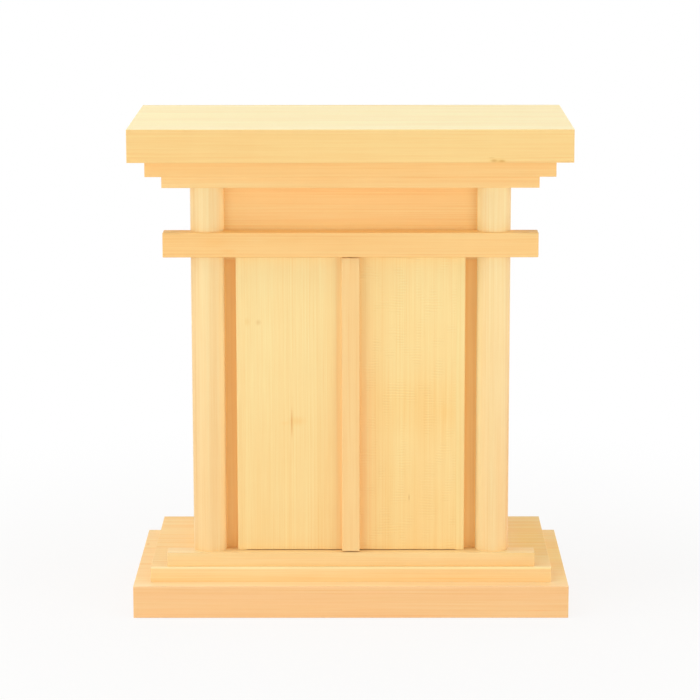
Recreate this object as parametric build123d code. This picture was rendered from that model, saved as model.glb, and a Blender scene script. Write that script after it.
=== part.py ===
"""A household ancestral shrine of plain cypress, with a pair of pivot-hung doors.

Sizes are in millimetres. X runs to the right, Y to the back and Z up.
The origin lies on the floor, under the middle of the base.
The shrine stands against a wall, so every level is flush at the back.
"""
import os
from math import sqrt

from build123d import *

# Cabinet body behind the posts
body_depth = 163.0
wall_thickness = 10.0
frame_thickness = 10.0
back_thickness = 6.0
back_rebate = 5.0
door_head_lap = 5.0
doorway_lap = 13.0

# Half-round posts
post_spacing = 257.0
post_radius = 15.0
halving_depth = 7.5

# Sill under the posts and the crossbar over the doors
sill_depth = 19.0
sill_thickness = 12.5
sill_overhang = 23.5
crossbar_depth = 19.0
crossbar_height = 22.0
crossbar_overhang = 24.0

# Heights between the members
doorway_height = 272.0
frieze_height = 40.0

# Stepped base
tier_thickness = 13.5
tier_side_step = 15.0
tier_front_step = 5.0
base_thickness = 29.5
base_side_step = 15.0
base_front_step = 15.0

# Stepped eaves and roof
eave_lower_thickness = 10.5
eave_lower_overhang = 24.5
eave_lower_front_lap = 1.0
eave_upper_thickness = 14.5
eave_side_step = 14.5
eave_front_step = 5.0
roof_thickness = 29.5
roof_side_step = 14.5
roof_front_step = 15.0

# Doors
door_thickness = 8.0
door_side_recess = 10.5
door_back_gap = 1.0
stile_width = 8.0
stile_end_gap = 0.3
leaf_end_gap = 0.8
meeting_gap = 1.0
batten_width = 16.0
batten_thickness = 7.5
batten_end_gap = 1.0
batten_relief = 0.3
pin_radius = 2.5
pin_length = 7.0
pin_side_clearance = 0.1
pin_end_clearance = 0.5

# Worked edges
board_edge_round = 0.3
crossbar_edge_round = 0.6
stile_corner_round = 1.0
batten_edge_round = 0.5

# Half widths, from the middle outwards
post_x = post_spacing / 2
body_half = post_x + post_radius
sill_half = body_half + sill_overhang
tier_half = sill_half + tier_side_step
base_half = tier_half + base_side_step
crossbar_half = body_half + crossbar_overhang
eave_lower_half = body_half + eave_lower_overhang
eave_upper_half = eave_lower_half + eave_side_step
roof_half = eave_upper_half + roof_side_step
door_half = post_x - post_radius - door_side_recess
doorway_half = door_half - doorway_lap
room_half = body_half - wall_thickness
pivot_x = door_half - door_thickness / 2

# Depths, with the front plane of the cabinet carrying the posts and members
base_depth = body_depth + sill_depth + tier_front_step + base_front_step
back_y = base_depth / 2
plane_y = back_y - body_depth
sill_front_y = plane_y - sill_depth
tier_front_y = sill_front_y - tier_front_step
base_front_y = tier_front_y - base_front_step
crossbar_front_y = plane_y - crossbar_depth
eave_lower_front_y = plane_y - post_radius - eave_lower_front_lap
eave_upper_front_y = eave_lower_front_y - eave_front_step
roof_front_y = eave_upper_front_y - roof_front_step
frame_back_y = plane_y + frame_thickness
panel_front_y = back_y - back_thickness
door_back_y = plane_y - door_back_gap
door_front_y = door_back_y - door_thickness
pivot_y = door_back_y - door_thickness / 2
batten_front_y = door_front_y - batten_thickness

# Levels, from the floor up
tier_z = base_thickness
sill_z = tier_z + tier_thickness
doorway_z = sill_z + sill_thickness
crossbar_z = doorway_z + doorway_height
frieze_z = crossbar_z + crossbar_height
eave_lower_z = frieze_z + frieze_height
eave_upper_z = eave_lower_z + eave_lower_thickness
roof_z = eave_upper_z + eave_upper_thickness
top_z = roof_z + roof_thickness
transom_z = crossbar_z - door_head_lap


def block(left, right, front, back, bottom, top):
    """A squared piece of wood between six planes."""
    size = Box(right - left, back - front, top - bottom)
    return Pos((left + right) / 2, (front + back) / 2, (bottom + top) / 2) * size


def eased_board(half, front, back, bottom, top, edge=board_edge_round):
    """A board centred on the middle of the shrine, with all its edges eased."""
    board = block(-half, half, front, back, bottom, top)
    return fillet(board.edges(), edge)


def prism(outline, bottom, top):
    """A plan outline, drawn on the floor, as an upright piece from one level to another."""
    return Pos(0, 0, bottom) * extrude(outline, top - bottom)


def both_sides(piece):
    """A piece of the left half, and its mirror image on the right."""
    return piece, mirror(piece, about=Plane.YZ)


def pivot_hole(bottom, top):
    """The bore for one door pin, on the left pivot axis."""
    return Pos(-pivot_x, pivot_y, bottom) * Cylinder(
        pin_radius + pin_side_clearance, top - bottom, align=(Align.CENTER, Align.CENTER, Align.MIN)
    )


def base_slab():
    """The thick board that the shrine stands on."""
    return eased_board(base_half, base_front_y, back_y, 0, tier_z)


def base_tier():
    """The second step of the base."""
    return eased_board(tier_half, tier_front_y, back_y, tier_z, sill_z)


def sill():
    """The strip under posts and doors, bored for the lower pins."""
    strip = eased_board(sill_half, sill_front_y, plane_y, sill_z, doorway_z)
    hole = pivot_hole(doorway_z - pin_length - pin_end_clearance, doorway_z)
    return strip - both_sides(hole)


def crossbar():
    """The bar across the posts, bored for the upper pins and halved over the posts."""
    bar = eased_board(
        crossbar_half, crossbar_front_y, plane_y, crossbar_z, frieze_z, crossbar_edge_round
    )
    hole = pivot_hole(crossbar_z, crossbar_z + pin_length + pin_end_clearance)
    return bar - both_sides(hole) - both_sides(post_core())


def post_core():
    """The flat tongue of the left post that runs on behind the crossbar."""
    tongue_half = sqrt(post_radius**2 - halving_depth**2)
    return block(
        -post_x - tongue_half, -post_x + tongue_half,
        plane_y - halving_depth, plane_y, crossbar_z, frieze_z,
    )


def post():
    """The left half-round post: flat at the back, and cut down to a tongue at the crossbar."""
    left_end = (-post_x - post_radius, plane_y)
    crown = (-post_x, plane_y - post_radius)
    right_end = (-post_x + post_radius, plane_y)
    outline = make_face(ThreePointArc(left_end, crown, right_end) + Line(right_end, left_end))
    lower = prism(outline, doorway_z, crossbar_z)
    upper = prism(outline, frieze_z, eave_lower_z)
    return lower + post_core() + upper


def jamb():
    """The left board of the cabinet front, from its corner to the doorway."""
    return block(-body_half, -doorway_half, plane_y, frame_back_y, sill_z, transom_z)


def transom_panel():
    """The board over the doorway, which shows between crossbar and eaves."""
    return block(-body_half, body_half, plane_y, frame_back_y, transom_z, eave_lower_z)


def side_wall():
    """The left wall, rebated at the back for the back panel."""
    outline = Polyline(
        (-body_half, frame_back_y),
        (-room_half, frame_back_y),
        (-room_half, panel_front_y),
        (-room_half - back_rebate, panel_front_y),
        (-room_half - back_rebate, back_y),
        (-body_half, back_y),
        close=True,
    )
    return prism(make_face(outline), sill_z, eave_lower_z)


def back_panel():
    """The thin board that closes the back, let into both walls."""
    half = room_half + back_rebate
    return block(-half, half, panel_front_y, back_y, sill_z, eave_lower_z)


def floor_board():
    """The cabinet floor, level with the sill and reaching forward between the jambs."""
    outline = Polyline(
        (-doorway_half, plane_y),
        (doorway_half, plane_y),
        (doorway_half, frame_back_y),
        (room_half, frame_back_y),
        (room_half, panel_front_y),
        (-room_half, panel_front_y),
        (-room_half, frame_back_y),
        (-doorway_half, frame_back_y),
        close=True,
    )
    return prism(make_face(outline), sill_z, doorway_z)


def eave_lower():
    """The eave board on top of walls and posts."""
    return eased_board(eave_lower_half, eave_lower_front_y, back_y, eave_lower_z, eave_upper_z)


def eave_upper():
    """The wider eave board under the roof."""
    return eased_board(eave_upper_half, eave_upper_front_y, back_y, eave_upper_z, roof_z)


def roof_slab():
    """The thick flat roof board."""
    return eased_board(roof_half, roof_front_y, back_y, roof_z, top_z)


def door_leaf():
    """The left leaf, from its pivot stile to the meeting line."""
    return block(
        -door_half + stile_width, -meeting_gap / 2,
        door_front_y, door_back_y,
        doorway_z + leaf_end_gap, crossbar_z - leaf_end_gap,
    )


def pivot_stile():
    """The left stile with its turned pins.

    The back outer corner is rounded about the pivot, so that it clears the frame as the door turns.
    """
    outer_x = -door_half
    seam_x = outer_x + stile_width
    round_start = (outer_x, pivot_y)
    round_end = (-pivot_x, door_back_y)
    front = Polyline(
        round_end, (seam_x, door_back_y), (seam_x, door_front_y), (outer_x, door_front_y), round_start
    )
    back_corner = CenterArc((-pivot_x, pivot_y), door_thickness / 2, 90, 90)
    outline = make_face(front + back_corner)
    corner = outline.vertices().group_by(Axis.Y)[0].sort_by(Axis.X)[0]
    outline = fillet(corner, stile_corner_round)
    bottom = doorway_z + stile_end_gap
    top = crossbar_z - stile_end_gap
    stile = prism(outline, bottom, top)
    pin_bottom = doorway_z - pin_length
    pin_top = crossbar_z + pin_length
    pins = Pos(-pivot_x, pivot_y, pin_bottom) * Cylinder(
        pin_radius, pin_top - pin_bottom, align=(Align.CENTER, Align.CENTER, Align.MIN)
    )
    return stile + pins


def meeting_batten():
    """The upright strip glued to the left leaf, relieved where it laps over the right leaf."""
    half = batten_width / 2
    bottom = doorway_z + batten_end_gap
    top = crossbar_z - batten_end_gap
    strip = block(-half, half, batten_front_y, door_front_y, bottom, top)
    front_edges = strip.edges().filter_by(Axis.Z).group_by(Axis.Y)[0]
    strip = fillet(front_edges, batten_edge_round)
    relief = block(
        -meeting_gap / 2, half, door_front_y - batten_relief, door_front_y, bottom, top
    )
    return strip - relief


def build_pieces():
    """Every piece of the shrine by its name."""
    post_left, post_right = both_sides(post())
    jamb_left, jamb_right = both_sides(jamb())
    side_wall_left, side_wall_right = both_sides(side_wall())
    leaf_left, leaf_right = both_sides(door_leaf())
    stile_left, stile_right = both_sides(pivot_stile())
    return {
        "base_slab": base_slab(),
        "base_tier": base_tier(),
        "sill": sill(),
        "post_left": post_left,
        "post_right": post_right,
        "crossbar": crossbar(),
        "jamb_left": jamb_left,
        "jamb_right": jamb_right,
        "transom_panel": transom_panel(),
        "side_wall_left": side_wall_left,
        "side_wall_right": side_wall_right,
        "back_panel": back_panel(),
        "floor_board": floor_board(),
        "eave_board_lower": eave_lower(),
        "eave_board_upper": eave_upper(),
        "roof_slab": roof_slab(),
        "door_left_leaf": leaf_left,
        "door_left_pivot_stile": stile_left,
        "door_meeting_batten": meeting_batten(),
        "door_right_leaf": leaf_right,
        "door_right_pivot_stile": stile_right,
    }


os.makedirs("parts", exist_ok=True)
for name, piece in build_pieces().items():
    export_step(piece, f"parts/{name}.step")
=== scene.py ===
"""Finishes, light and camera for a household ancestral shrine of plain cypress.

Every board keeps its solid. Its wood is worked out in space, as if the board were sawn from a log whose
pith runs beside it, so that faces, edges and end grain of one board belong together.
Lengths are in metres and angles in degrees.
"""
import logging
import math
from dataclasses import dataclass
from enum import Enum

import bpy
from mathutils import Matrix, Vector


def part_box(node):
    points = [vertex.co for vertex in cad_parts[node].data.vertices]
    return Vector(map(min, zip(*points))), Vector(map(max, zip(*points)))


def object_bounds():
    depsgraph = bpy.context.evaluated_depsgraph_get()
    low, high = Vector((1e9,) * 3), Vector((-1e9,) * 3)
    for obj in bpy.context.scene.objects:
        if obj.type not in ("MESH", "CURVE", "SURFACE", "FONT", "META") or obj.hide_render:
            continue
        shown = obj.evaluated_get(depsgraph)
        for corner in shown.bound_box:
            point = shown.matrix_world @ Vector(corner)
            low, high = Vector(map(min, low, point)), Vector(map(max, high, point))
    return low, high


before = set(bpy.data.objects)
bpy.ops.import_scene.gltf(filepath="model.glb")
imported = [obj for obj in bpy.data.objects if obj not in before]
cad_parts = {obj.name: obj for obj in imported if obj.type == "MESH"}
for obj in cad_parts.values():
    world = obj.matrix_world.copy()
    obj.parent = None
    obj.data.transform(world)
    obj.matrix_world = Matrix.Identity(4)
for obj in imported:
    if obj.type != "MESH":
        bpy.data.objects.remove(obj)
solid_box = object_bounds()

log = logging.getLogger("shrine")

Colour = tuple[float, float, float]
Place = tuple[float, float, float]
Socket = bpy.types.NodeSocket


class Grain(Enum):
    """The way that a board's fibres run: the numbers of its two cross axes and of the axis along it."""

    SIDEWAYS = (1, 2, 0)
    UPRIGHT = (0, 1, 2)


def linear(red: int, green: int, blue: int) -> Colour:
    """Turns an eight-bit screen colour into the linear values that a shader takes.

    Args:
        red: Red from 0 to 255.
        green: Green from 0 to 255.
        blue: Blue from 0 to 255.

    Returns:
        The three linear values, each from 0 to 1.
    """
    def straighten(value: int) -> float:
        """Undoes the curve of the sRGB standard for one channel."""
        share = value / 255
        return share / 12.92 if share <= 0.04045 else ((share + 0.055) / 1.055) ** 2.4

    return straighten(red), straighten(green), straighten(blue)


class ShaderSheet:
    """Lays out one material's nodes and joins them, so that formulas read as method calls.

    What a method works out, it returns as the socket that holds it.
    """

    def __init__(self, name: str) -> None:
        """Starts an empty material.

        Args:
            name: The material's name.
        """
        self.material = bpy.data.materials.new(name)
        self.material.use_nodes = True
        self.tree = self.material.node_tree
        self.tree.nodes.clear()

    def node(self, kind: str, **settings: object) -> bpy.types.Node:
        """Adds a node.

        Args:
            kind: Blender's name of the node type.
            settings: Properties to set on the node.

        Returns:
            The new node.
        """
        made = self.tree.nodes.new(kind)
        for name, value in settings.items():
            setattr(made, name, value)
        return made

    def feed(self, socket: Socket, value: object) -> None:
        """Links a socket to another, or sets it to a constant.

        Args:
            socket: The input to feed.
            value: A socket, or a constant of the input's own kind.
        """
        if isinstance(value, Socket):
            self.tree.links.new(value, socket)
        else:
            socket.default_value = value

    def math(self, operation: str, *values: object) -> Socket:
        """Works out one arithmetic step.

        Args:
            operation: Blender's name of the operation.
            values: Sockets or numbers that go in.

        Returns:
            The result.
        """
        step = self.node("ShaderNodeMath", operation=operation)
        for socket, value in zip(step.inputs, values):
            self.feed(socket, value)
        return step.outputs[0]

    def stretch(
        self, value: object, low: float, high: float, to_low: float = 0.0, to_high: float = 1.0
    ) -> Socket:
        """Carries a value from one range smoothly into another, and stops at its ends.

        Args:
            value: The socket or number that goes in.
            low: Start of its range.
            high: End of its range.
            to_low: Result at the start.
            to_high: Result at the end.

        Returns:
            The result.
        """
        step = self.node("ShaderNodeMapRange", interpolation_type="SMOOTHSTEP")
        for socket, number in zip(step.inputs, (value, low, high, to_low, to_high)):
            self.feed(socket, number)
        return step.outputs["Result"]

    def scaled(self, vector: object, factors: object) -> Socket:
        """Multiplies a vector or a colour by a factor for each of its parts.

        Args:
            vector: The vector or colour.
            factors: Three numbers, or a socket that holds them.

        Returns:
            The product.
        """
        step = self.node("ShaderNodeVectorMath", operation="MULTIPLY")
        self.feed(step.inputs[0], vector)
        self.feed(step.inputs[1], factors)
        return step.outputs["Vector"]

    def length(self, vector: object) -> Socket:
        """Measures a vector.

        Args:
            vector: The vector's socket.

        Returns:
            Its length.
        """
        step = self.node("ShaderNodeVectorMath", operation="LENGTH")
        self.feed(step.inputs[0], vector)
        return step.outputs["Value"]

    def parts(self, vector: object) -> bpy.types.NodeOutputs:
        """Takes a vector apart.

        Args:
            vector: The vector's socket.

        Returns:
            The sockets of its X, Y and Z.
        """
        step = self.node("ShaderNodeSeparateXYZ")
        self.feed(step.inputs[0], vector)
        return step.outputs

    def noise(self, vector: object, detail: float = 2.0, roughness: float = 0.5) -> Socket:
        """Makes smooth noise about zero, from -0.5 to 0.5.

        Args:
            vector: Where it is read, at the scale that the noise needs.
            detail: How many finer layers it holds.
            roughness: How strong each finer layer is.

        Returns:
            The noise.
        """
        step = self.node("ShaderNodeTexNoise", noise_dimensions="3D")
        self.feed(step.inputs["Vector"], vector)
        step.inputs["Scale"].default_value = 1.0
        step.inputs["Detail"].default_value = detail
        step.inputs["Roughness"].default_value = roughness
        return self.math("SUBTRACT", step.outputs["Fac"], 0.5)

    def blend(self, share: object, first: object, second: object) -> Socket:
        """Mixes two colours.

        Args:
            share: Share of the second colour, from 0 to 1.
            first: The first colour, as a socket or three numbers.
            second: The second colour.

        Returns:
            The mixed colour.
        """
        step = self.node("ShaderNodeMix", data_type="RGBA", clamp_factor=True)
        self.feed(step.inputs["Factor"], share)
        for socket, value in ((step.inputs[6], first), (step.inputs[7], second)):
            self.feed(socket, (*value, 1.0) if isinstance(value, tuple) else value)
        return step.outputs[2]


@dataclass(frozen=True)
class Mark:
    """A knot, streak or stain, or a patch of painted light or painted shade, that fades out from its
    middle.

    Attributes:
        centre: Its middle in the shared frame.
        reach: Half its length along X, Y and Z.
        tint: Its share of the wood's red, green and blue.
        depth: How far its middle goes over to the tint, from 0 to 1.
        bend: How far the rings swing round it.
    """

    centre: Place
    reach: Place
    tint: Colour
    depth: float = 1.0
    bend: float = 0.0


Marks = tuple[Mark, ...]


@dataclass(frozen=True)
class Tone:
    """The colours of one board, with painted light on faces that look up and painted shade towards the low
    end.

    Attributes:
        straw: Colour of the pale early wood.
        blush: Its share of red, green and blue in the warmer heartwood.
        late: Its share of red, green and blue in the narrow late wood.
        painted_top_light: Its share of red, green and blue on a face that looks up, as painted light from
            above.
        foot: Its share of red, green and blue at the low end of the grain, as painted shade.
        painted_low_shade_reach: How far from that end the painted shade fades out.
    """

    straw: Colour
    blush: Colour = (1.0, 0.93, 0.87)
    late: Colour = (0.95, 0.78, 0.62)
    # Painted light from above on faces that look up.
    painted_top_light: Colour = (1.0, 1.0, 1.0)
    # Painted shade, darker towards the low end of the grain.
    foot: Colour = (1.0, 1.0, 1.0)
    painted_low_shade_reach: float = 0.25

    def shaded(self, shares: Colour) -> Colour:
        """Dims the straw colour by a share for each channel.

        Args:
            shares: What is left of red, green and blue.

        Returns:
            The dimmed colour.
        """
        red, green, blue = (value * share for value, share in zip(self.straw, shares))
        return red, green, blue


@dataclass(frozen=True)
class Sawing:
    """How a board lies in its log.

    Attributes:
        grain: The axis that its fibres follow.
        pith: From the board's middle to the pith, along the two cross axes.
        ring: Mean width of a growth ring.
        heart: Distance from the pith at which the warmer heartwood ends.
        run_out: Angles by which the fibres leave the grain axis, about X, Y and Z.
        contrast: How strongly the rings show, from 0 to 1.
        figure: How strongly the broad bands across the grain show, from 0 to 1.
        ripple: How strongly the planer's fine cross marks show, from 0 to 1.
    """

    grain: Grain
    pith: tuple[float, float]
    ring: float = 0.0022
    heart: float = 0.0
    run_out: Place = (0.0, 0.0, 0.0)
    contrast: float = 0.60
    figure: float = 0.3
    ripple: float = 0.0


@dataclass(frozen=True)
class Weave:
    """Smooth noise that is drawn out along the grain.

    Attributes:
        across: Its waves in a metre across the grain.
        along: Its waves in a metre along the grain.
        detail: How many finer layers it holds.
        roughness: How strong each finer layer is.
    """

    across: float
    along: float
    detail: float = 2.0
    roughness: float = 0.5


@dataclass(frozen=True)
class Growth:
    """The habit of growth that all the logs share.

    Attributes:
        fibre: Weave of single fibres.
        streak: Weave of longer streaks.
        wander: Weave by which the rings leave a true circle.
        wander_depth: How far they leave it.
        tremble: Finer weave of the same kind.
        tremble_depth: How far it moves the rings.
        pace: How fast fat and lean years change places.
        swing: How many rings they push the count on.
        late_power: Power that narrows the late wood to the end of its ring.
        late_end: Part of a ring at which its late wood ends.
        faintest: Strength of the faintest ring.
        spread: How much stronger the strongest ring is.
        fading: Weave by which the rings come and go.
        fading_reach: Its value, under and over nought, at which they are weakest and strongest.
        weakest: Share of its strength that a ring keeps where it is weakest.
        strongest: The same where it is strongest.
    """

    fibre: Weave = Weave(1500, 22, roughness=0.6)
    streak: Weave = Weave(330, 4.2, detail=3.0, roughness=0.65)
    wander: Weave = Weave(9, 2.2, detail=1.0)
    wander_depth: float = 0.004
    tremble: Weave = Weave(60, 9)
    tremble_depth: float = 0.0006
    pace: float = 0.21
    swing: float = 2.6
    late_power: float = 5.0
    late_end: float = 0.965
    faintest: float = 0.2
    spread: float = 0.9
    fading: Weave = Weave(30, 8)
    fading_reach: float = 0.20
    weakest: float = 0.15
    strongest: float = 1.6


@dataclass(frozen=True)
class PlaneMarks:
    """The fine waves that a planing machine leaves across the grain.

    Attributes:
        wave: Distance from one wave to the next.
        drift: Weave by which they shift along the grain.
        drift_depth: How far they shift, in radians of a wave.
        patch: Weave by which they come and go.
        patch_start: Value of that weave at which they begin.
        patch_full: Value at which they are fully there.
    """

    wave: float = 0.0025
    drift: Weave = Weave(45, 30)
    drift_depth: float = 9.0
    patch: Weave = Weave(75, 48, detail=1.0)
    patch_start: float = -0.01
    patch_full: float = 0.13


class WoodSheet(ShaderSheet):
    """The node layout of one board, with the patterns that its colour and its surface share.

    Attributes:
        growth: How the log grew.
        plane_marks: What the planing machine left.
        facing_from: Share of the normal along an axis from which a face counts as facing that way.
        facing_full: Share at which it fully does.
        streak_reach: Value of the streaks, under and over nought, at which marks change most.
        mark_swing: How much weaker or stronger they are there.
    """

    growth: Growth = Growth()
    plane_marks: PlaneMarks = PlaneMarks()
    facing_from: float = 0.55
    facing_full: float = 0.95
    streak_reach: float = 0.16
    mark_swing: float = 0.25

    def __init__(self, name: str, sawing: Sawing, low: Vector, high: Vector, marks: Marks) -> None:
        """Lays out the patterns of a board.

        Args:
            name: The material's name.
            sawing: How the board lies in its log.
            low: The board's lowest corner.
            high: The board's highest corner.
            marks: Knots, streaks and stains in its faces, and patches of painted light and painted shade.
        """
        super().__init__(name)
        source = self.node("ShaderNodeTexCoord")
        self.sawing = sawing
        self.place = source.outputs["Object"]
        self.normal = self.parts(source.outputs["Normal"])
        self.log_axes = self._log_axes((low + high) / 2)
        self.masks = [(mark, self._mask(mark)) for mark in marks]
        self.radius, self.late, self.ring_strength = self._rings()
        self.fibre = self.weave(self.growth.fibre)
        self.streak = self.weave(self.growth.streak)
        self.ripple = self._ripple()
        self.end_grain = self._end_grain()
        along = sawing.grain.value[2]
        self.half_length = (high[along] - low[along]) / 2

    def _log_axes(self, middle: Vector) -> Socket:
        """Turns a place in the frame into cross, cross and along coordinates from the log's pith.

        Args:
            middle: The board's middle.

        Returns:
            The coordinates.
        """
        axes = self.sawing.grain.value
        pith = list(middle)
        for axis, offset in zip(axes, self.sawing.pith):
            pith[axis] += offset
        seat = self.node("ShaderNodeMapping", vector_type="TEXTURE")
        seat.inputs["Location"].default_value = pith
        seat.inputs["Rotation"].default_value = [math.radians(angle) for angle in self.sawing.run_out]
        self.feed(seat.inputs["Vector"], self.place)
        parts = self.parts(seat.outputs["Vector"])
        joined = self.node("ShaderNodeCombineXYZ")
        for socket, axis in zip(joined.inputs, axes):
            self.feed(socket, parts[axis])
        return joined.outputs["Vector"]

    def weave(self, pattern: Weave) -> Socket:
        """Makes noise that is drawn out along the grain.

        Args:
            pattern: Its stretch and its layers.

        Returns:
            The noise, from -0.5 to 0.5.
        """
        drawn_out = self.scaled(self.log_axes, (pattern.across, pattern.across, pattern.along))
        return self.noise(drawn_out, pattern.detail, pattern.roughness)

    def _mask(self, mark: Mark) -> Socket:
        """Works out how strong a mark is: its depth in the middle, and nought from its reach on.

        Args:
            mark: The mark.

        Returns:
            Its strength.
        """
        offset = self.node("ShaderNodeVectorMath", operation="SUBTRACT")
        self.feed(offset.inputs[0], self.place)
        offset.inputs[1].default_value = mark.centre
        span = self.scaled(offset.outputs["Vector"], tuple(1 / reach for reach in mark.reach))
        return self.stretch(self.length(span), 0.0, 1.0, mark.depth, 0.0)

    def _rings(self) -> tuple[Socket, Socket, Socket]:
        """Works out the growth rings: the distance from the pith, counted in rings.

        The part of that number past the whole ring runs from 0 to 1, and a high power of it leaves only
        the late wood.

        Returns:
            The distance from the pith, the late wood from 0 to 1, and the strength of each ring.
        """
        growth = self.growth
        radius = self.length(self.scaled(self.log_axes, (1, 1, 0)))
        radius = self.math("MULTIPLY_ADD", self.weave(growth.wander), growth.wander_depth, radius)
        radius = self.math("MULTIPLY_ADD", self.weave(growth.tremble), growth.tremble_depth, radius)
        for mark, mask in self.masks:
            if mark.bend:
                radius = self.math("MULTIPLY_ADD", mask, mark.bend, radius)
        number = self.math("DIVIDE", radius, self.sawing.ring)
        season = self.node("ShaderNodeTexNoise", noise_dimensions="1D")
        season.inputs["Scale"].default_value = 1.0
        season.inputs["Detail"].default_value = 1.0
        self.feed(season.inputs["W"], self.math("MULTIPLY", number, growth.pace))
        number = self.math("MULTIPLY_ADD", season.outputs["Fac"], growth.swing, number)
        phase = self.math("FRACT", number)
        falling = self.stretch(phase, growth.late_end, 1.0, 1.0, 0.0)
        late = self.math("MULTIPLY", self.math("POWER", phase, growth.late_power), falling)
        year = self.node("ShaderNodeTexWhiteNoise", noise_dimensions="1D")
        self.feed(year.inputs["W"], self.math("FLOOR", number))
        strength = self.math("MULTIPLY_ADD", year.outputs["Value"], growth.spread, growth.faintest)
        reach = growth.fading_reach
        fading = self.stretch(self.weave(growth.fading), -reach, reach, growth.weakest, growth.strongest)
        return radius, late, self.math("MULTIPLY", strength, fading)

    def _ripple(self) -> Socket:
        """Lays the planer's waves across the grain: a sine of the place along it, in patches.

        Returns:
            Their height, from -1 to 1.
        """
        marks = self.plane_marks
        along = self.parts(self.log_axes)["Z"]
        shift = self.math("MULTIPLY", self.weave(marks.drift), marks.drift_depth)
        waves = self.math("MULTIPLY_ADD", along, 2 * math.pi / marks.wave, shift)
        patches = self.stretch(self.weave(marks.patch), marks.patch_start, marks.patch_full)
        return self.math("MULTIPLY", self.math("SINE", waves), patches)

    def _end_grain(self) -> Socket:
        """Finds the faces that cut across the fibres.

        Returns:
            1 on end grain and 0 on faces along the fibres.
        """
        facing = self.math("ABSOLUTE", self.normal[self.sawing.grain.value[2]])
        return self.stretch(facing, self.facing_from, self.facing_full)

    def with_painted_top_light(self, colour: Socket, painted_top_light: Colour) -> Socket:
        """Paints light from above into a colour where the face looks up.

        Args:
            colour: The wood's colour.
            painted_top_light: Its share of red, green and blue there, as painted light.

        Returns:
            The changed colour.
        """
        upward = self.stretch(self.normal["Z"], self.facing_from, self.facing_full)
        return self.scaled(colour, self.blend(upward, (1.0, 1.0, 1.0), painted_top_light))

    def with_painted_low_shade(self, colour: Socket, foot: Colour, reach: float) -> Socket:
        """Paints shade into a colour towards the low end of the grain, darker towards that end.

        Args:
            colour: The wood's colour.
            foot: Its share of red, green and blue at that end, as painted shade.
            reach: How far from that end the painted shade fades out.

        Returns:
            The changed colour.
        """
        low_end = -self.half_length
        risen = self.stretch(self.parts(self.log_axes)["Z"], low_end, low_end + reach)
        return self.scaled(colour, self.blend(risen, foot, (1.0, 1.0, 1.0)))

    def marked(self, colour: Socket) -> Socket:
        """Lays the board's marks over a colour, stronger and weaker from streak to streak.

        Args:
            colour: The wood's colour.

        Returns:
            The changed colour.
        """
        reach, swing = self.streak_reach, self.mark_swing
        streaky = self.stretch(self.streak, -reach, reach, 1 - swing, 1 + swing)
        for mark, mask in self.masks:
            share = self.math("MULTIPLY", mask, streaky)
            colour = self.scaled(colour, self.blend(share, (1.0, 1.0, 1.0), mark.tint))
        return colour


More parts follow.
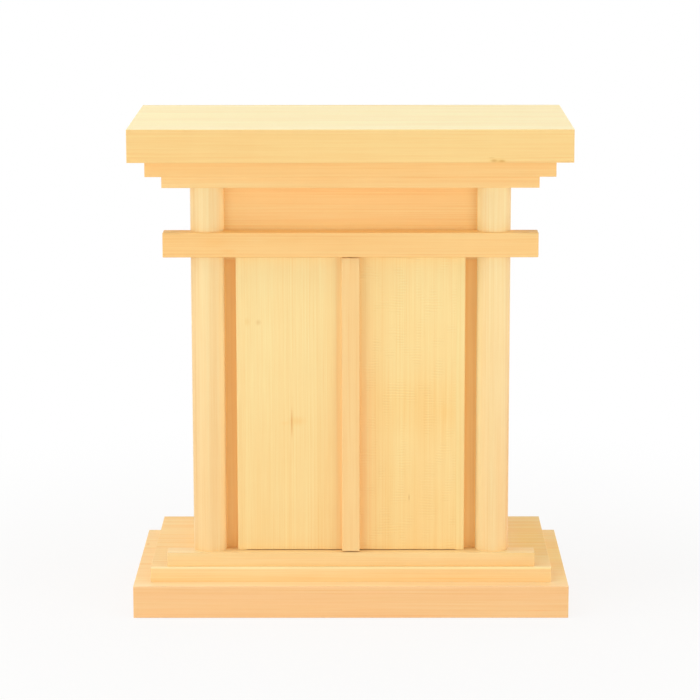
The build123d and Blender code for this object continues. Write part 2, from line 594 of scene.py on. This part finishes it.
@dataclass(frozen=True)
class CypressFinish:
    """Planed, unvarnished cypress: pale early wood, thin tan late wood and a silky surface.

    Attributes:
        fibre_share: How much single fibres change the colour.
        streak_share: How much longer streaks change it.
        cloud_share: How much broad clouds change it.
        blush_share: How much warm and pale patches change places.
        end_share: How much darker end grain is.
        ripple_share: How much the planer's waves change the colour.
        ground: Share of the late wood's colour in the early wood.
        patch: Weave of the warm and pale patches.
        cloud: Weave of the clouds.
        figure: Weave of the broad bands across the grain.
        mean_warmth: Warmth of a board without its patches.
        heart_warmth: Warmth that heartwood adds.
        heart_edge: Half the width of the seam where it ends.
        relief: Height of the surface's marks.
        late_height: Share of it in the late wood.
        fibre_height: Share of it in the fibres.
        streak_height: Share of it in the streaks.
        ripple_height: Share of it in the planer's waves.
        smooth: Roughness of the smoothest wood.
        matt: Roughness of end grain.
        plain_dull: How far early wood lies between them.
        late_dull: How much further late wood lies.
        fibre_dull: How much single fibres change it.
        gloss: Strength of the reflection, as the surface shader counts it.
        density: Index of refraction of the surface.
    """

    fibre_share: float = 0.65
    streak_share: float = 1.25
    cloud_share: float = 0.35
    blush_share: float = 2.6
    end_share: float = 0.55
    ripple_share: float = 0.06
    ground: float = 0.16
    patch: Weave = Weave(62, 3.1, roughness=0.55)
    cloud: Weave = Weave(26, 3.4)
    figure: Weave = Weave(9, 27, roughness=0.55)
    mean_warmth: float = 0.3
    heart_warmth: float = 0.5
    heart_edge: float = 0.02
    relief: float = 0.00006
    late_height: float = 0.6
    fibre_height: float = 0.8
    streak_height: float = 0.5
    ripple_height: float = 0.6
    smooth: float = 0.42
    matt: float = 0.58
    plain_dull: float = 0.3
    late_dull: float = 0.5
    fibre_dull: float = 0.6
    gloss: float = 0.45
    density: float = 1.45

    def material(self, sheet: WoodSheet, tone: Tone) -> bpy.types.Material:
        """Makes the wood of one board.

        Args:
            sheet: The board's patterns.
            tone: The board's colours.

        Returns:
            The material.
        """
        bump = sheet.node("ShaderNodeBump")
        bump.inputs["Distance"].default_value = self.relief
        sheet.feed(bump.inputs["Height"], self._height(sheet))
        surface = sheet.node("ShaderNodeBsdfPrincipled")
        surface.inputs["IOR"].default_value = self.density
        surface.inputs["Specular IOR Level"].default_value = self.gloss
        sheet.feed(surface.inputs["Base Color"], self._colour(sheet, tone))
        sheet.feed(surface.inputs["Roughness"], self._roughness(sheet))
        sheet.feed(surface.inputs["Normal"], bump.outputs["Normal"])
        output = sheet.node("ShaderNodeOutputMaterial")
        sheet.feed(output.inputs["Surface"], surface.outputs["BSDF"])
        return sheet.material

    def _colour(self, sheet: WoodSheet, tone: Tone) -> Socket:
        """Paints rings, streaks, warm patches and marks, with painted light on faces that look up and
        painted shade towards the low end.

        Args:
            sheet: The board's patterns.
            tone: The board's colours.

        Returns:
            The colour.
        """
        inside = sheet.sawing.heart - self.heart_edge
        outside = sheet.sawing.heart + self.heart_edge
        heartwood = sheet.stretch(sheet.radius, inside, outside, self.heart_warmth, 0.0)
        warmth = sheet.math("ADD", heartwood, self.mean_warmth)
        warmth = sheet.math("MULTIPLY_ADD", sheet.weave(self.patch), self.blush_share, warmth)
        pale = sheet.blend(warmth, tone.straw, tone.shaded(tone.blush))
        colour = sheet.blend(self._darkness(sheet), pale, tone.shaded(tone.late))
        # Painted light on faces that look up, and painted shade towards the low end of the grain.
        colour = sheet.with_painted_low_shade(sheet.with_painted_top_light(colour, tone.painted_top_light), tone.foot, tone.painted_low_shade_reach)
        return sheet.marked(colour)

    def _darkness(self, sheet: WoodSheet) -> Socket:
        """Adds up everything that takes the early wood towards the late wood's colour.

        Args:
            sheet: The board's patterns.

        Returns:
            The sum, from 0 to 1.
        """
        sawing = sheet.sawing
        rings = sheet.math("MULTIPLY", sheet.late, sheet.ring_strength)
        darkness = sheet.math("MULTIPLY_ADD", rings, sawing.contrast, self.ground)
        for share, pattern in (
            (self.fibre_share, sheet.fibre),
            (self.streak_share, sheet.streak),
            (self.cloud_share, sheet.weave(self.cloud)),
            (sawing.figure, sheet.weave(self.figure)),
            (self.ripple_share * sawing.ripple, sheet.ripple),
            (self.end_share, sheet.end_grain),
        ):
            darkness = sheet.math("MULTIPLY_ADD", pattern, share, darkness)
        return darkness

    def _roughness(self, sheet: WoodSheet) -> Socket:
        """Makes late wood and end grain duller than early wood.

        Args:
            sheet: The board's patterns.

        Returns:
            The roughness.
        """
        dull = sheet.math("MULTIPLY_ADD", sheet.fibre, self.fibre_dull, self.plain_dull)
        dull = sheet.math("MULTIPLY_ADD", sheet.late, self.late_dull, dull)
        dull = sheet.math("MAXIMUM", dull, sheet.end_grain)
        return sheet.stretch(dull, 0.0, 1.0, self.smooth, self.matt)

    def _height(self, sheet: WoodSheet) -> Socket:
        """Raises late wood, fibres, streaks and the planer's waves.

        Args:
            sheet: The board's patterns.

        Returns:
            The height.
        """
        height = sheet.math("MULTIPLY", sheet.late, self.late_height)
        height = sheet.math("MULTIPLY_ADD", sheet.fibre, self.fibre_height, height)
        ripple_height = self.ripple_height * sheet.sawing.ripple
        height = sheet.math("MULTIPLY_ADD", sheet.ripple, ripple_height, height)
        return sheet.math("MULTIPLY_ADD", sheet.streak, self.streak_height, height)


@dataclass(frozen=True)
class Board:
    """One piece of the shrine and the wood that it is made of.

    Attributes:
        node: Name of its solid.
        slot: Name of a finish in the record; not used.
        tone: Its colours.
        sawing: How it lies in its log.
        finish: How it is planed.
        marks: Knots, streaks and stains in its faces, and patches of painted light and painted shade.
    """

    node: str
    slot: str
    tone: Tone
    sawing: Sawing
    finish: CypressFinish
    marks: Marks = ()

    def dress(self) -> None:
        """Gives the solid its wood."""
        low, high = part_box(self.node)
        sheet = WoodSheet(f"cypress_{self.node}", self.sawing, low, high, self.marks)
        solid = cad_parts[self.node]
        solid.data.materials.clear()
        solid.data.materials.append(self.finish.material(sheet, self.tone))
        log.info("%s is dressed", self.node)


@dataclass
class RoofWork:
    """The flat roof board and the two eave boards under it.

    Attributes:
        roof_finish: How the roof board is planed.
        eave_finish: How the eave boards are planed.
        roof_tone: Colours of the roof board.
        upper_tone: Colours of the upper eave board.
        lower_tone: Colours of the lower eave board.
    """

    roof_finish: CypressFinish = CypressFinish(cloud_share=0.75, smooth=0.26, gloss=1.55)
    eave_finish: CypressFinish = CypressFinish(streak_share=1.5)
    # Painted light and painted sheen on the roof's top face, through crown.
    roof_tone: Tone = Tone(linear(246, 209, 132), painted_top_light=(1.06, 1.31, 1.56))
    upper_tone: Tone = Tone(linear(248, 213, 146))
    lower_tone: Tone = Tone(linear(249, 214, 148))

    def boards(self) -> list[Board]:
        """Lists the three boards.

        Returns:
            The boards from the top down.
        """
        grain = Grain.SIDEWAYS
        roof = Sawing(grain, (0.1, -0.19), 0.0019, heart=0.205, contrast=0.75)
        upper = Sawing(grain, (-0.03, 0.22), 0.0019, heart=0.24, contrast=0.75)
        lower = Sawing(grain, (0.05, 0.25), 0.002, heart=0.2, contrast=0.75)
        return [
            Board("roof_slab", "roof", self.roof_tone, roof, self.roof_finish, self._slab_marks()),
            Board("eave_board_upper", "roof", self.upper_tone, upper, self.eave_finish),
            Board("eave_board_lower", "roof", self.lower_tone, lower, self.eave_finish),
        ]

    def _slab_marks(self) -> Marks:
        """Lists the twin knot in the front, the painted shade along the back of the top, and the pale front
        of the top.

        Returns:
            The marks.
        """
        low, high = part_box("roof_slab")
        front, back, foot, top = low.y, high.y, low.z, high.z
        return (
            Mark((0.1264, front, foot + 0.0019), (0.0044, 0.004, 0.0019), (0.76, 0.58, 0.24), 0.85, 0.0012),
            Mark((0.1334, front, foot + 0.0015), (0.0044, 0.004, 0.0018), (0.77, 0.59, 0.22), 0.85, 0.0012),
            Mark((0.124, front, foot + 0.0044), (0.0046, 0.004, 0.0009), (0.86, 0.76, 0.58), 0.7),
            Mark((0.13, front, foot + 0.0016), (0.012, 0.006, 0.0028), (0.93, 0.84, 0.62), 0.8, 0.0008),
            # Painted shade along the back edge of the top.
            Mark((0.0, back, top), (0.4, 0.007, 0.004), (0.88, 0.86, 0.88)),
            Mark((0.0, front + 0.013, top), (0.5, 0.034, 0.004), (1.02, 1.06, 1.22)),
        )


@dataclass
class FrontMembers:
    """The half-round posts, the crossbar and the sill.

    Attributes:
        finish: How the members are planed.
        left_tone: Colours of the left post.
        right_tone: Colours of the right post.
        bar_tone: Colours of the crossbar.
        sill_tone: Colours of the sill.
    """

    finish: CypressFinish = CypressFinish()
    # Painted shade, darker towards the foot of each post.
    left_tone: Tone = Tone(linear(247, 223, 166), foot=(0.97, 0.89, 0.83), painted_low_shade_reach=0.34)
    right_tone: Tone = Tone(
        linear(248, 230, 174), blush=(1.0, 0.86, 0.77), foot=(0.97, 0.9, 0.85), painted_low_shade_reach=0.34
    )
    # Painted light on the tops of the crossbar and the sill.
    bar_tone: Tone = Tone(linear(247, 206, 137), painted_top_light=(1.08, 1.16, 1.18))
    sill_tone: Tone = Tone(linear(246, 212, 150), painted_top_light=(0.99, 1.07, 1.14))

    def boards(self) -> list[Board]:
        """Lists posts, crossbar and sill.

        Returns:
            The boards.
        """
        upright, sideways = Grain.UPRIGHT, Grain.SIDEWAYS
        left = Sawing(upright, (0.05, 0.16), 0.0026, heart=0.165)
        right = Sawing(upright, (-0.11, 0.1), 0.0026, heart=0.12)
        bar = Sawing(sideways, (0.04, 0.17), 0.0022, heart=0.17, contrast=0.78)
        strip = Sawing(sideways, (0.06, -0.2), 0.0022, heart=0.2, contrast=0.8)
        return [
            Board("post_left", "members", self.left_tone, left, self.finish, self._left_marks()),
            Board("post_right", "members", self.right_tone, right, self.finish, self._right_marks()),
            Board("crossbar", "members", self.bar_tone, bar, self.finish, self._bar_marks()),
            Board("sill", "members", self.sill_tone, strip, self.finish, self._sill_marks()),
        ]

    def _left_marks(self) -> Marks:
        """Lists the painted shade on the left edge, the painted highlight along the front and the painted
        light on the right edge of the left post.

        Returns:
            The marks.
        """
        return (
            # Painted shade on the post's left edge.
            Mark((-0.143, -0.068, 0.19), (0.014, 0.03, 0.4), (0.9, 0.88, 0.88)),
            # Painted highlight along the front of the post.
            Mark((-0.1285, -0.077, 0.2), (0.0012, 0.02, 0.22), (1.0, 1.03, 1.06), 0.9),
            # Painted light on the post's right edge, beside the recess.
            Mark((-0.1135, -0.066, 0.2), (0.009, 0.02, 0.4), (1.13, 1.21, 1.26)),
        )

    def _right_marks(self) -> Marks:
        """Lists the painted light on the left edge, the painted shade on the right edge and a warm streak
        of the right post.

        Returns:
            The marks.
        """
        return (
            # Painted light on the post's left edge, beside the recess.
            Mark((0.1135, -0.066, 0.2), (0.009, 0.02, 0.4), (1.03, 1.14, 1.2)),
            # Painted shade on the post's right edge.
            Mark((0.144, -0.068, 0.2), (0.009, 0.03, 0.4), (0.96, 0.83, 0.77)),
            Mark((0.137, -0.075, 0.15), (0.006, 0.02, 0.14), (1.0, 0.96, 0.95), 0.8),
        )

    def _bar_marks(self) -> Marks:
        """Lists the stains of the crossbar and the painted shade on the ends of its top.

        Returns:
            The marks.
        """
        low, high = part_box("crossbar")
        front, bottom, top = low.y, low.z, high.z
        stains = (
            Mark((-0.1206, front, bottom + 0.0125), (0.022, 0.01, 0.009), (1.0, 0.955, 0.9), 0.8),
            Mark((-0.085, front, bottom + 0.0149), (0.012, 0.01, 0.0055), (1.0, 1.02, 1.05), 0.9),
            Mark((-0.1091, front, bottom + 0.0059), (0.011, 0.01, 0.003), (1.0, 0.92, 0.82), 0.8),
            Mark((0.0, front, bottom + 0.0105), (0.09, 0.01, 0.022), (0.99, 0.96, 0.94), 0.9),
        )
        # Painted shade on both ends of the top, under the eaves.
        painted_shade_ends = tuple(
            Mark((side * 0.164, front + 0.01, top + 0.0005), (0.03, 0.024, 0.003), (0.78, 0.8, 0.76))
            for side in (-1, 1)
        )
        return stains + painted_shade_ends

    def _sill_marks(self) -> Marks:
        """Lists the painted light on the left end and the painted shade on the right end of the sill's top.

        Returns:
            The marks.
        """
        low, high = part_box("sill")
        middle, top = (low.y + high.y) / 2, high.z
        return (
            # Painted light on the left end.
            Mark((-0.156, middle, top), (0.04, 0.03, 0.005), (0.96, 1.01, 1.1)),
            # Painted shade on the right end, beside the cabinet.
            Mark((0.156, middle, top), (0.04, 0.03, 0.005), (0.96, 0.95, 0.86)),
        )


@dataclass
class Cabinet:
    """The hollow body behind posts and doors.

    Attributes:
        finish: How the boards are planed.
        jamb_tone: Colours of the cabinet front beside the doorway: a warmer wood, darkened further with
            painted shade of the recess.
        panel_tone: Colours of the board over the doorway.
        wall_tone: Colours of walls, back and floor.
    """

    finish: CypressFinish = CypressFinish()
    # Warmer wood with painted shade of the recess in it.
    jamb_tone: Tone = Tone(linear(254, 206, 130))
    panel_tone: Tone = Tone(linear(251, 210, 141))
    wall_tone: Tone = Tone(linear(249, 211, 145))

    def boards(self) -> list[Board]:
        """Lists the front frame, walls, back and floor.

        Returns:
            The boards.
        """
        upright, sideways = Grain.UPRIGHT, Grain.SIDEWAYS
        jamb, wall = self.jamb_tone, self.wall_tone
        panel_cut = Sawing(sideways, (0.03, 0.21), 0.0024, heart=0.2, contrast=0.75)
        seats = (
            ("jamb_left", jamb, Sawing(upright, (0.17, 0.03), 0.0024, heart=0.2), ()),
            ("jamb_right", jamb, Sawing(upright, (-0.19, 0.02), 0.0024, heart=0.2), ()),
            ("transom_panel", self.panel_tone, panel_cut, self._panel_marks()),
            ("side_wall_left", wall, Sawing(upright, (0.09, 0.07), 0.003, heart=0.11), ()),
            ("side_wall_right", wall, Sawing(upright, (-0.1, 0.06), 0.003, heart=0.11), ()),
            ("back_panel", wall, Sawing(upright, (0.07, 0.07), 0.0034, heart=0.1), ()),
            ("floor_board", wall, Sawing(sideways, (0.05, -0.08), 0.003, heart=0.09), ()),
        )
        return [Board(node, "cabinet", *rest, self.finish, marks) for node, *rest, marks in seats]

    def _panel_marks(self) -> Marks:
        """Lists the two long streaks and the painted light along the lower edge of the board over the
        doorway.

        Returns:
            The marks.
        """
        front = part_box("transom_panel")[0].y
        bar_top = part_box("crossbar")[1].z
        return (
            Mark((-0.01, front, bar_top + 0.0216), (0.14, 0.004, 0.0011), (1.0, 1.03, 1.06), 0.8),
            Mark((-0.01, front, bar_top + 0.0236), (0.14, 0.004, 0.0009), (1.0, 0.96, 0.92), 0.7),
            # Painted light along the lower edge, just over the crossbar.
            Mark((0.0, front, bar_top + 0.002), (0.25, 0.004, 0.008), (1.02, 1.09, 1.11)),
        )


@dataclass
class DoorPair:
    """The two pivot-hung doors and the batten over their meeting line.

    Attributes:
        finish: How leaves and stiles are planed.
        left_tone: Colours of the left leaf and its stile.
        right_tone: Colours of the right leaf and its stile.
        batten_tone: Colours of the batten.
    """

    finish: CypressFinish = CypressFinish(streak_share=0.8, blush_share=2.2)
    # Painted shade, darker towards the foot of each leaf and stile.
    left_tone: Tone = Tone(linear(248, 225, 162), foot=(0.98, 0.92, 0.86), painted_low_shade_reach=0.27)
    right_tone: Tone = Tone(
        linear(249, 224, 158), blush=(1.0, 0.9, 0.83), foot=(0.98, 0.92, 0.86), painted_low_shade_reach=0.27
    )
    batten_tone: Tone = Tone(linear(244, 209, 146))

    def boards(self) -> list[Board]:
        """Lists leaves, stiles and batten.

        Returns:
            The boards from left to right.
        """
        upright = Grain.UPRIGHT
        left = Sawing(upright, (0.16, 0.06), 0.0021, heart=0.145, contrast=0.5, figure=0.2)
        right = Sawing(upright, (-0.17, 0.05), 0.0021, heart=0.15, contrast=0.42, figure=0.3, ripple=2.2)
        left_strip = Sawing(upright, (0.12, 0.1), 0.0022)
        right_strip = Sawing(upright, (-0.12, 0.11), 0.0022)
        middle = Sawing(upright, (0.04, 0.16), 0.0024, heart=0.165)
        left_tone, right_tone, finish = self.left_tone, self.right_tone, self.finish
        return [
            Board("door_left_leaf", "doors", left_tone, left, finish, self._left_marks()),
            Board("door_left_pivot_stile", "doors", left_tone, left_strip, finish),
            Board("door_meeting_batten", "doors", self.batten_tone, middle, finish),
            Board("door_right_leaf", "doors", right_tone, right, finish, self._right_marks()),
            Board("door_right_pivot_stile", "doors", right_tone, right_strip, finish, self._stile_marks()),
        ]

    def _front(self) -> float:
        """Finds the plane of the leaves' front faces."""
        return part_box("door_left_leaf")[0].y

    def _left_marks(self) -> Marks:
        """Lists the pin knot and spots of the left leaf, and the painted shade beside the batten.

        Returns:
            The marks.
        """
        front = self._front()
        return (
            Mark((-0.0533, front, 0.1745), (0.001, 0.004, 0.019), (0.84, 0.55, 0.36), 0.9, 0.0008),
            Mark((-0.0535, front, 0.18), (0.0016, 0.004, 0.06), (0.99, 0.92, 0.85), 0.6),
            Mark((-0.048, front, 0.176), (0.011, 0.004, 0.0065), (0.99, 0.9, 0.8), 0.85, 0.001),
            Mark((-0.0595, front, 0.174), (0.006, 0.004, 0.003), (1.0, 0.93, 0.84), 0.6),
            Mark((-0.0829, front, 0.2668), (0.0038, 0.004, 0.0038), (0.92, 0.84, 0.76), 0.9, 0.0006),
            Mark((-0.0945, front, 0.2672), (0.007, 0.004, 0.0055), (0.98, 0.93, 0.85), 0.9),
            # Painted shade beside the batten.
            Mark((-0.015, front, 0.15), (0.017, 0.004, 0.15), (1.0, 0.975, 0.965), 0.9),
            # Painted red light in that shade, along the leaf's edge at the batten.
            Mark((-0.008, front, 0.2), (0.01, 0.004, 0.5), (1.06, 1.01, 1.03)),
        )

    def _right_marks(self) -> Marks:
        """Lists the small mark, seam line and broad bands of the right leaf, and the painted shade beside
        the batten.

        Returns:
            The marks.
        """
        front = self._front()
        return (
            Mark((0.0529, front, 0.1048), (0.0006, 0.004, 0.0046), (0.74, 0.62, 0.52), 0.95),
            Mark((0.0552, front, 0.1048), (0.0016, 0.004, 0.0042), (1.0, 1.03, 1.06), 0.8),
            Mark((0.0948, front, 0.25), (0.0006, 0.004, 0.09), (0.98, 0.9, 0.84), 0.8),
            # Painted warm shade beside the batten.
            Mark((0.009, front, 0.15), (0.019, 0.004, 0.2), (1.05, 0.95, 0.935), 0.9),
            Mark((0.064, front, 0.19), (0.07, 0.004, 0.042), (1.0, 0.945, 0.87), 0.9),
            Mark((0.085, front, 0.184), (0.013, 0.004, 0.014), (1.0, 0.96, 0.9), 0.6),
            Mark((0.0803, front, 0.28), (0.045, 0.004, 0.07), (1.0, 1.015, 1.04), 0.9),
            Mark((0.0809, front, 0.13), (0.03, 0.004, 0.032), (1.0, 1.015, 1.04), 0.9),
        )

    def _stile_marks(self) -> Marks:
        """Makes the whole right stile paler.

        Returns:
            The one mark.
        """
        return (Mark((0.099, self._front(), 0.19), (0.015, 0.02, 0.6), (0.99, 1.04, 1.08)),)


@dataclass
class BaseWork:
    """The stepped base.

    Attributes:
        finish: How the boards are planed.
        slab_tone: Colours of the base board.
        tier_tone: Colours of the step on it.
    """

    finish: CypressFinish = CypressFinish(gloss=0.2, blush_share=3.0)
    # Painted light on the tops of the base board and the step.
    slab_tone: Tone = Tone(linear(244, 205, 148), blush=(1.0, 0.92, 0.9), painted_top_light=(1.02, 1.2, 1.27))
    tier_tone: Tone = Tone(linear(246, 214, 154), painted_top_light=(0.96, 1.02, 1.03))

    def boards(self) -> list[Board]:
        """Lists the base board and the step on it.

        Returns:
            The boards from the floor up.
        """
        sideways = Grain.SIDEWAYS
        slab = Sawing(sideways, (-0.12, -0.16), 0.003, heart=0.2, contrast=0.85, figure=0.2)
        tier = Sawing(sideways, (0.04, -0.18), 0.0026, heart=0.18, contrast=0.55)
        return [
            Board("base_slab", "base", self.slab_tone, slab, self.finish, self._slab_marks()),
            Board("base_tier", "base", self.tier_tone, tier, self.finish, self._tier_marks()),
        ]

    def _slab_marks(self) -> Marks:
        """Lists the streaks and knot of the base board, the painted shade on the right of its top and the
        painted light along the front strip of its top.

        Returns:
            The marks.
        """
        low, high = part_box("base_slab")
        front, top = low.y, high.z
        return (
            Mark((0.0219, front, 0.0243), (0.05, 0.005, 0.0012), (1.0, 0.92, 0.92), 0.8),
            Mark((0.056, front, 0.0018), (0.075, 0.005, 0.0016), (1.0, 0.92, 0.9), 0.8),
            Mark((0.038, front, 0.015), (0.045, 0.005, 0.001), (1.0, 0.94, 0.93), 0.7),
            Mark((0.17, front, 0.0068), (0.018, 0.005, 0.0008), (1.0, 0.91, 0.84), 0.8),
            Mark((low.x + 0.0027, 0.0476, top), (0.0024, 0.007, 0.002), (0.92, 0.8, 0.68), 0.9, 0.001),
            # Painted shade on the right of the top, beside the cabinet.
            Mark((0.192, 0.02, top), (0.045, 0.16, 0.004), (1.03, 1.0, 0.77)),
            # Painted light along the front strip of the top, more on the left.
            Mark((0.0, front + 0.006, top), (0.5, 0.014, 0.003), (1.02, 1.07, 1.26)),
            Mark((-0.15, front + 0.006, top), (0.15, 0.014, 0.003), (1.0, 1.05, 1.1)),
        )

    def _tier_marks(self) -> Marks:
        """Lists the orange streaks of the step, the painted shade on the right of its top and the painted
        light along the front strip of its top.

        Returns:
            The marks.
        """
        low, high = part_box("base_tier")
        front, bottom, top = low.y, low.z, high.z
        strip = front + 0.001
        return (
            Mark((0.092, front, bottom + 0.0033), (0.062, 0.005, 0.0012), (1.0, 0.92, 0.8), 0.85),
            Mark((0.015, front, bottom + 0.0019), (0.06, 0.005, 0.001), (1.0, 0.94, 0.85), 0.7),
            # Painted shade on the right of the top, beside the cabinet.
            Mark((0.17, 0.02, top), (0.04, 0.14, 0.004), (1.0, 0.96, 0.68)),
            # Painted light along the front strip of the top, more at both ends.
            Mark((0.0, strip, top), (0.5, 0.006, 0.0025), (1.04, 1.2, 1.4)),
            Mark((-0.14, strip, top), (0.15, 0.006, 0.0025), (1.03, 1.04, 1.12)),
            Mark((0.14, strip, top), (0.12, 0.006, 0.0025), (1.06, 1.08, 1.08)),
        )


@dataclass
class Camera:
    """The long-lens view of the photograph.

    Attributes:
        place: Where the lens is.
        lens: Focal length in millimetres.
        sensor: Width of the sensor in millimetres.
        pitch: Angle by which it looks down.
        yaw: Angle by which it turns to the right.
        roll: Angle by which it leans.
        near: Distance from which it sees things.
        far: Distance up to which it sees them.
    """

    place: Place = (0.0099, -2.6022, 0.7379)
    lens: float = 147.34
    sensor: float = 36.0
    pitch: float = 11.095
    yaw: float = -0.237
    roll: float = 0.080
    near: float = 0.1
    far: float = 50.0

    def build(self) -> None:
        """Makes the scene's camera."""
        lens = bpy.data.cameras.new("camera")
        lens.sensor_width = self.sensor
        lens.lens = self.lens
        lens.clip_start = self.near
        lens.clip_end = self.far
        camera = bpy.data.objects.new("camera", lens)
        bpy.context.scene.collection.objects.link(camera)
        turn = Matrix.Rotation(-math.radians(self.yaw), 4, "Z")
        tilt = Matrix.Rotation(math.radians(90 - self.pitch), 4, "X")
        lean = Matrix.Rotation(-math.radians(self.roll), 4, "Z")
        camera.matrix_world = Matrix.Translation(self.place) @ turn @ tilt @ lean
        bpy.context.scene.camera = camera


@dataclass(frozen=True)
class Softbox:
    """A large soft lamp that points at the middle of the shrine.

    Attributes:
        name: Its name.
        place: Where it hangs.
        size: Its side.
        power: Its power in watts.
        sheen: Whether it is mirrored in the wood, or only lights it.
    """

    name: str
    place: Place
    size: float
    power: float
    sheen: bool = False

    def build(self, aim: Vector) -> None:
        """Hangs the lamp.

        Args:
            aim: The point that it faces.
        """
        lamp = bpy.data.lights.new(self.name, "AREA")
        lamp.shape = "SQUARE"
        lamp.size = self.size
        lamp.energy = self.power
        holder = bpy.data.objects.new(self.name, lamp)
        bpy.context.scene.collection.objects.link(holder)
        holder.location = self.place
        holder.rotation_euler = (aim - Vector(self.place)).to_track_quat("-Z", "Y").to_euler()
        holder.visible_glossy = self.sheen


@dataclass(frozen=True)
class FloorFinish:
    """A matt pale floor that turns white with its distance from the shrine.

    Attributes:
        colour: Its colour for the light that it throws back.
        near_white: Share of plain white in it beside the shrine, for the camera.
        far_white: The same where the floor meets the white surroundings.
        fade_start: Distance from the middle at which the white begins to grow.
        fade_end: Distance at which it has grown.
    """

    colour: Colour = (0.80, 0.79, 0.78)
    near_white: float = 0.84
    far_white: float = 1.0
    fade_start: float = 0.24
    fade_end: float = 0.75

    def material(self) -> bpy.types.Material:
        """Makes the floor's material.

        Returns:
            The material.
        """
        sheet = ShaderSheet("pale_floor")
        matt = sheet.node("ShaderNodeBsdfDiffuse")
        matt.inputs["Color"].default_value = (*self.colour, 1.0)
        glow = sheet.node("ShaderNodeEmission")
        rays = sheet.node("ShaderNodeLightPath")
        away = sheet.length(sheet.node("ShaderNodeTexCoord").outputs["Object"])
        white = sheet.stretch(away, self.fade_start, self.fade_end, self.near_white, self.far_white)
        both = sheet.node("ShaderNodeMixShader")
        sheet.feed(both.inputs[0], sheet.math("MULTIPLY", rays.outputs["Is Camera Ray"], white))
        sheet.feed(both.inputs[1], matt.outputs[0])
        sheet.feed(both.inputs[2], glow.outputs[0])
        output = sheet.node("ShaderNodeOutputMaterial")
        sheet.feed(output.inputs["Surface"], both.outputs[0])
        return sheet.material


@dataclass
class Studio:
    """A pale floor, white surroundings and soft lamps.

    Attributes:
        floor_finish: What the floor looks like.
        floor_half: Half the side of the floor.
        floor_gap: How far it lies below the shrine's underside.
        ambient: Strength of the surroundings for everything but the camera and reflections.
        softboxes: The lamps.
    """

    floor_finish: FloorFinish = FloorFinish()
    floor_half: float = 6.0
    floor_gap: float = 0.0002
    ambient: float = 0.462
    softboxes: tuple[Softbox, ...] = (
        Softbox("left_low", (-1.5, -1.6, 0.35), 0.9, 10.6),
        Softbox("right_low", (1.5, -1.6, 0.35), 0.9, 12.5),
        Softbox("left_side", (-2.4, -0.5, 0.7), 1.2, 13.8),
        Softbox("right_side", (2.4, -0.5, 0.7), 1.2, 9.9),
        Softbox("left_top", (-1.3, -0.4, 2.4), 1.4, 19.3),
        Softbox("right_top", (1.3, -0.4, 2.4), 1.4, 9.5),
        Softbox("left_back", (-1.2, 2.0, 0.9), 1.2, 8.0, sheen=True),
        Softbox("right_back", (1.2, 2.0, 0.9), 1.2, 8.0, sheen=True),
    )

    def build(self) -> None:
        """Lays the floor and hangs the lamps."""
        self._lay_floor()
        self._surround()
        low, high = solid_box
        for softbox in self.softboxes:
            softbox.build((low + high) / 2)

    def _lay_floor(self) -> None:
        """Lays a flat floor just below the shrine's underside."""
        half, depth = self.floor_half, -self.floor_gap
        mesh = bpy.data.meshes.new("floor")
        corners = [(x * half, y * half, depth) for x, y in ((-1, -1), (1, -1), (1, 1), (-1, 1))]
        mesh.from_pydata(corners, [], [(0, 1, 2, 3)])
        floor = bpy.data.objects.new("floor", mesh)
        bpy.context.scene.collection.objects.link(floor)
        mesh.materials.append(self.floor_finish.material())

    def _surround(self) -> None:
        """Makes the surroundings white for camera and reflections, and softer as a source of light."""
        world = bpy.data.worlds.new("studio")
        world.use_nodes = True
        bpy.context.scene.world = world
        tree = world.node_tree
        background = next(node for node in tree.nodes if node.type == "BACKGROUND")
        background.inputs["Color"].default_value = (1.0, 1.0, 1.0, 1.0)
        rays = tree.nodes.new("ShaderNodeLightPath")
        seen = tree.nodes.new("ShaderNodeMath")
        seen.operation = "MAXIMUM"
        tree.links.new(rays.outputs["Is Camera Ray"], seen.inputs[0])
        tree.links.new(rays.outputs["Is Glossy Ray"], seen.inputs[1])
        strength = tree.nodes.new("ShaderNodeMapRange")
        strength.inputs["To Min"].default_value = self.ambient
        strength.inputs["To Max"].default_value = 1.0
        tree.links.new(seen.outputs[0], strength.inputs["Value"])
        tree.links.new(strength.outputs["Result"], background.inputs["Strength"])


def main() -> None:
    """Builds the studio and dresses every board."""
    logging.basicConfig(level=logging.INFO, format="%(name)s: %(message)s")
    bpy.context.scene.view_settings.view_transform = "Standard"
    Camera().build()
    Studio().build()
    for work in (RoofWork(), FrontMembers(), Cabinet(), DoorPair(), BaseWork()):
        for board in work.boards():
            board.dress()


if __name__ == "__main__":
    main()
